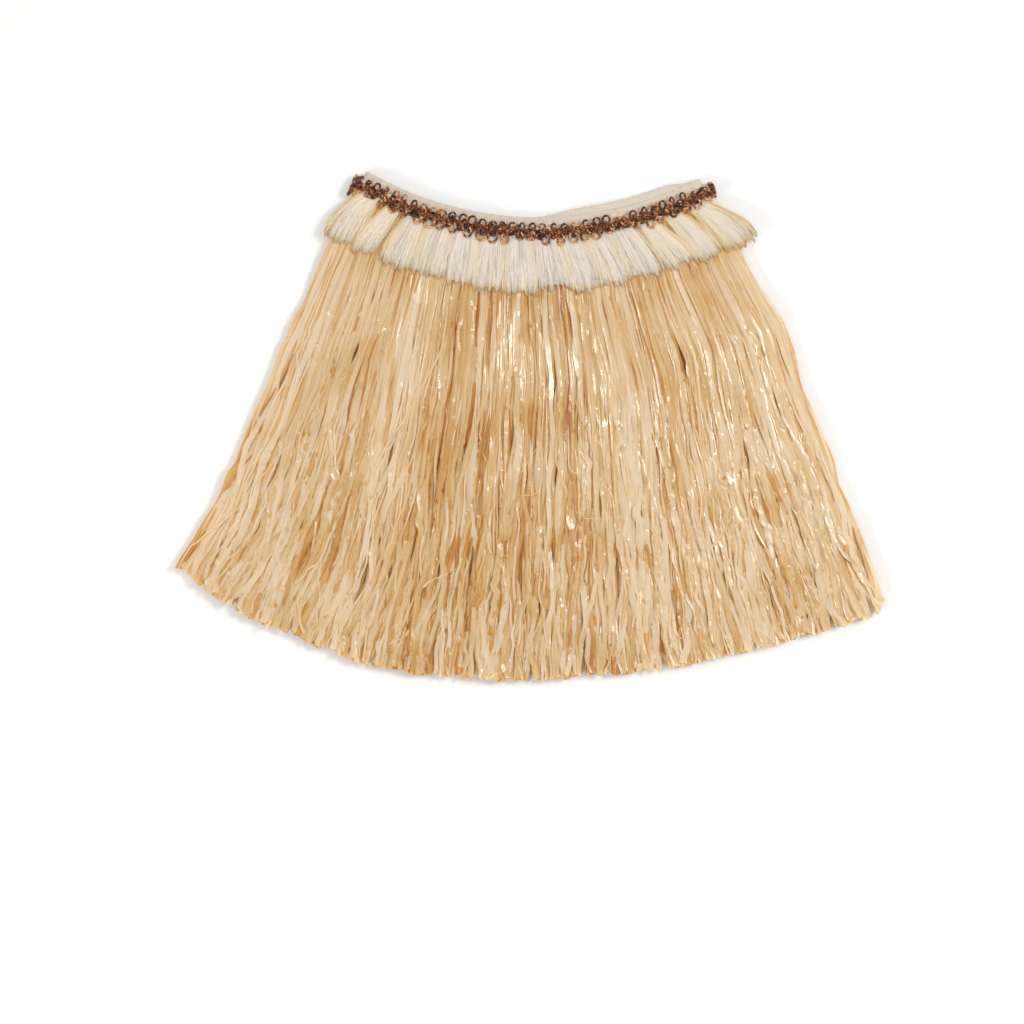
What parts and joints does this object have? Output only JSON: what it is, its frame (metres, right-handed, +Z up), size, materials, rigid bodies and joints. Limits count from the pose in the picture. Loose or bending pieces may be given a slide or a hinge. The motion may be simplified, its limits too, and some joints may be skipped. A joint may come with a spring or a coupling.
{
  "type": "grass skirt",
  "caption": "Hula-style grass skirt laid flat: elastic waistband, long straw fringe, short cream fringe and a looped dark braid.",
  "frame": {"origin": "centre of the footprint, on the surface that the skirt lies on", "axes": "+X to the wearer's left, which is the right as seen from above; +Y towards the waist; +Z up out of the front"},
  "size_m": [0.6234, 0.4468, 0.0189],
  "materials": {
    "waistband_elastic": "matte woven elastic",
    "straw": "crinkled glossy translucent ribbon",
    "cream_fibre": "soft matte fibre",
    "braid_cord": "satin twisted cord"
  },
  "bodies": {
    "root": {"waistband": "waistband_elastic", "straw_fringe": "straw", "cream_fringe": "cream_fibre", "braid": "braid_cord"}
  },
  "joints": []
}
